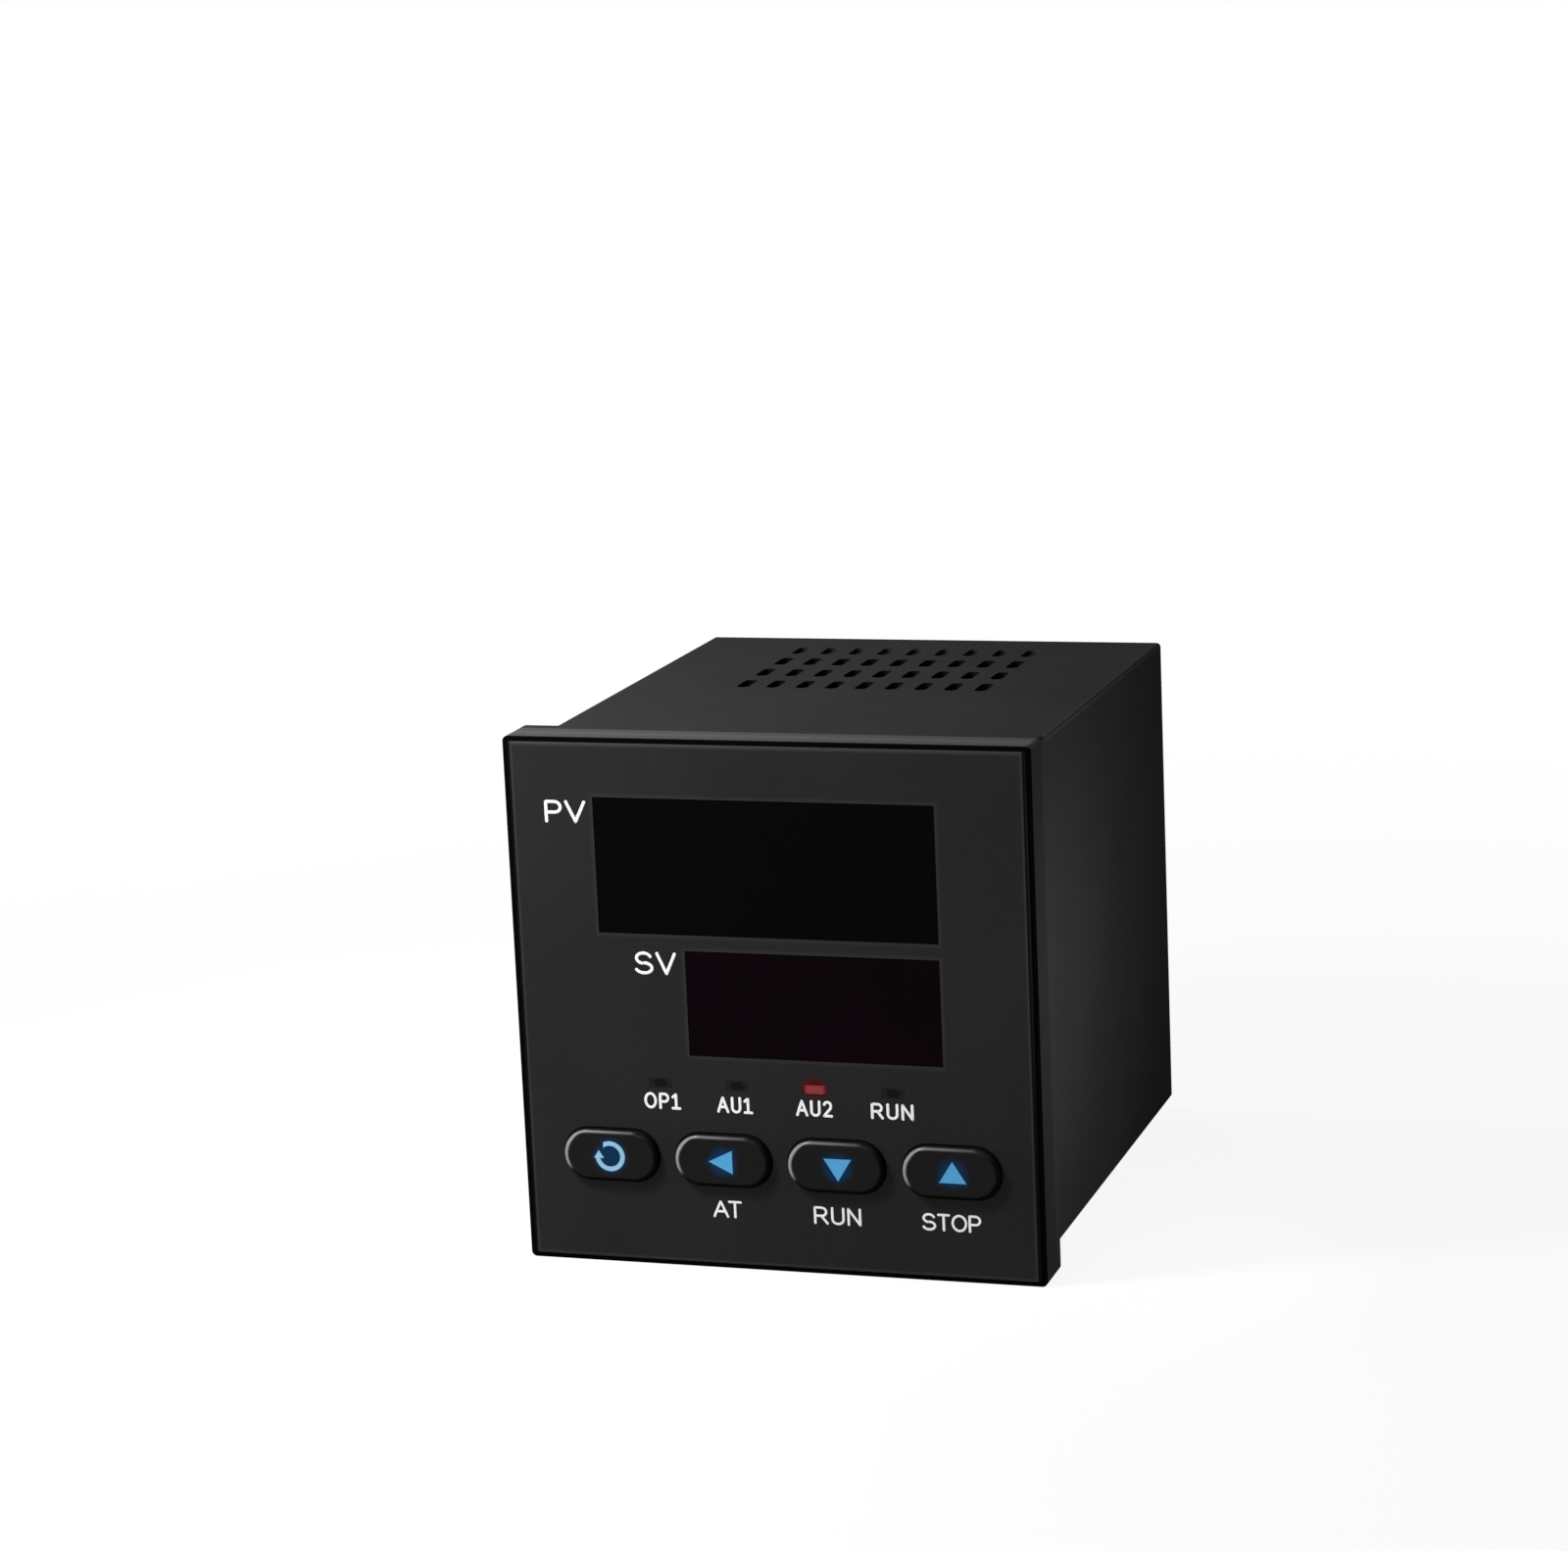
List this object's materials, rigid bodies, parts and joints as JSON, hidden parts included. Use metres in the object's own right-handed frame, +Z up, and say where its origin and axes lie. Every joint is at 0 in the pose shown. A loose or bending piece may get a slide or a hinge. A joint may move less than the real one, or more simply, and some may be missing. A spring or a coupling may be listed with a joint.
{
  "type": "panel temperature controller",
  "caption": "Square panel-mount process temperature controller with display windows, indicator lamps, soft keys, a vented draw-out case and rear screw terminals.",
  "frame": {"origin": "centre of the square panel opening, in the plane of the panel's front face, which is the rear face of the case's flange", "axes": "+X to the right of the front face, +Y to the rear along the case, +Z up"},
  "size_m": [0.096, 0.1113, 0.096],
  "materials": {
    "case_plastic": "fine-textured moulded black plastic, satin",
    "bezel_plastic": "fine-textured moulded black plastic, satin",
    "front_plate": "satin black printed front plate",
    "window_lens": "smoked acrylic, glossy",
    "lamp_dark": "unlit diffused lamp",
    "lamp_lit": "lit red diffused lamp",
    "key_rubber": "black moulded key, satin",
    "circuit_board": "green solder mask on glass-fibre laminate",
    "cover_plastic": "black flame-retardant moulded plastic",
    "socket_plastic": "natural nylon",
    "contact_metal": "tinned brass",
    "screw_steel": "zinc-plated steel",
    "display_face": "black filled display block",
    "switch_plastic": "black switch housing",
    "plunger_plastic": "black acetal",
    "chip_plastic": "moulded epoxy",
    "relay_plastic": "blue relay cover",
    "capacitor_sleeve": "shrunk sleeve",
    "ferrite": "sintered ferrite",
    "bobbin_plastic": "phenolic bobbin",
    "winding_tape": "yellow winding tape",
    "fuse_glass": "ceramic fuse body",
    "sink_aluminium": "extruded, plain"
  },
  "bodies": {
    "case": {"case": "case_plastic", "rear_cover": "cover_plastic", "rear_cover_screws": "screw_steel", "right_terminal_block": "cover_plastic", "left_terminal_block": "cover_plastic", "right_socket": "socket_plastic", "left_socket": "socket_plastic", "right_terminals": "contact_metal", "left_terminals": "contact_metal", "right_clamp_plates": "screw_steel", "left_clamp_plates": "screw_steel", "right_terminal_screws": "screw_steel", "left_terminal_screws": "screw_steel"},
    "chassis": {"bezel": "bezel_plastic", "face_plate": "front_plate", "pv_lens": "window_lens", "sv_lens": "window_lens", "pv_display": "display_face", "sv_display": "display_face", "display_board": "circuit_board", "display_board_screws": "screw_steel", "key_switches": "switch_plastic", "output_lamp": "lamp_dark", "first_alarm_lamp": "lamp_dark", "second_alarm_lamp": "lamp_lit", "run_lamp": "lamp_dark", "main_board": "circuit_board", "power_board": "circuit_board", "power_header": "socket_plastic", "main_header": "socket_plastic", "board_brace": "cover_plastic", "processor": "chip_plastic", "input_chip": "chip_plastic", "module_sockets": "chip_plastic", "output_module": "circuit_board", "output_relay": "relay_plastic", "alarm_module": "circuit_board", "alarm_relay": "relay_plastic", "communication_module": "circuit_board", "communication_chip": "chip_plastic", "mains_capacitor": "capacitor_sleeve", "output_capacitors": "capacitor_sleeve", "rectifier": "chip_plastic", "fuse": "fuse_glass", "fuse_clips": "contact_metal", "transformer_core": "ferrite", "transformer_bobbin": "bobbin_plastic", "transformer_winding": "winding_tape", "heat_sink": "sink_aluminium", "switching_transistor": "chip_plastic"},
    "set_key": {"set_key": "key_rubber", "set_plunger": "plunger_plastic"},
    "left_key": {"left_key": "key_rubber", "left_plunger": "plunger_plastic"},
    "down_key": {"down_key": "key_rubber", "down_plunger": "plunger_plastic"},
    "up_key": {"up_key": "key_rubber", "up_plunger": "plunger_plastic"}
  },
  "joints": [
    {"name": "chassis_slide", "type": "slide", "parent": "case", "child": "chassis", "axis": [0, -1, 0], "range_m": [0, 0.1]},
    {"name": "set_key_press", "type": "slide", "parent": "chassis", "child": "set_key", "axis": [0, 1, 0], "range_m": [0, 0.0006], "stiffness_N_per_m": 800, "springref_m": -0.001},
    {"name": "left_key_press", "type": "slide", "parent": "chassis", "child": "left_key", "axis": [0, 1, 0], "range_m": [0, 0.0006], "stiffness_N_per_m": 800, "springref_m": -0.001},
    {"name": "down_key_press", "type": "slide", "parent": "chassis", "child": "down_key", "axis": [0, 1, 0], "range_m": [0, 0.0006], "stiffness_N_per_m": 800, "springref_m": -0.001},
    {"name": "up_key_press", "type": "slide", "parent": "chassis", "child": "up_key", "axis": [0, 1, 0], "range_m": [0, 0.0006], "stiffness_N_per_m": 800, "springref_m": -0.001}
  ]
}
